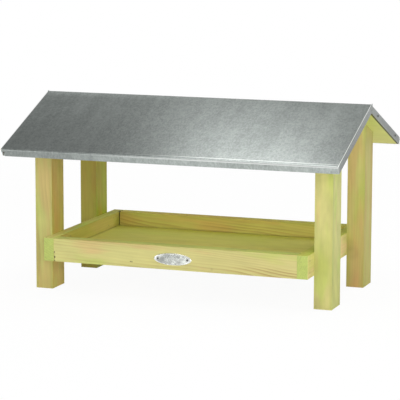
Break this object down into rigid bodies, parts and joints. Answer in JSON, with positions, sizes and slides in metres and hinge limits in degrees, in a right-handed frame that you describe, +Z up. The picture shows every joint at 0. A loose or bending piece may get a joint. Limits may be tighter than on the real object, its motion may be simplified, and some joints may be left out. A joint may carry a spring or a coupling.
{
  "type": "bird table",
  "caption": "Low wooden bird table: a shallow feeding tray held between posts under a gabled, folded sheet-metal roof.",
  "frame": {"origin": "on the ground, under the middle of the roof", "axes": "+X along the ridge to the right, +Y to the rear, +Z up"},
  "size_m": [0.54, 0.3582, 0.301],
  "materials": {
    "galvanised_steel": "zinc coated, mottled, semi-matt",
    "treated_pine": "planed, green pressure-treated",
    "treated_panel": "smooth panel, green pressure-treated",
    "badge_metal": "pressed plate, satin",
    "nail_steel": "plain"
  },
  "bodies": {
    "root": {"roof_sheet": "galvanised_steel", "roof_board_front": "treated_panel", "roof_board_rear": "treated_panel", "post_front_left": "treated_pine", "post_front_right": "treated_pine", "post_rear_left": "treated_pine", "post_rear_right": "treated_pine", "tray_front_board": "treated_pine", "tray_back_board": "treated_pine", "tray_left_board": "treated_pine", "tray_right_board": "treated_pine", "tray_floor": "treated_panel", "badge_plate": "badge_metal", "badge_nails": "nail_steel", "roof_sheet_nails": "nail_steel", "roof_board_nails": "nail_steel", "tray_corner_brads": "nail_steel", "tray_post_brads": "nail_steel"}
  },
  "joints": []
}
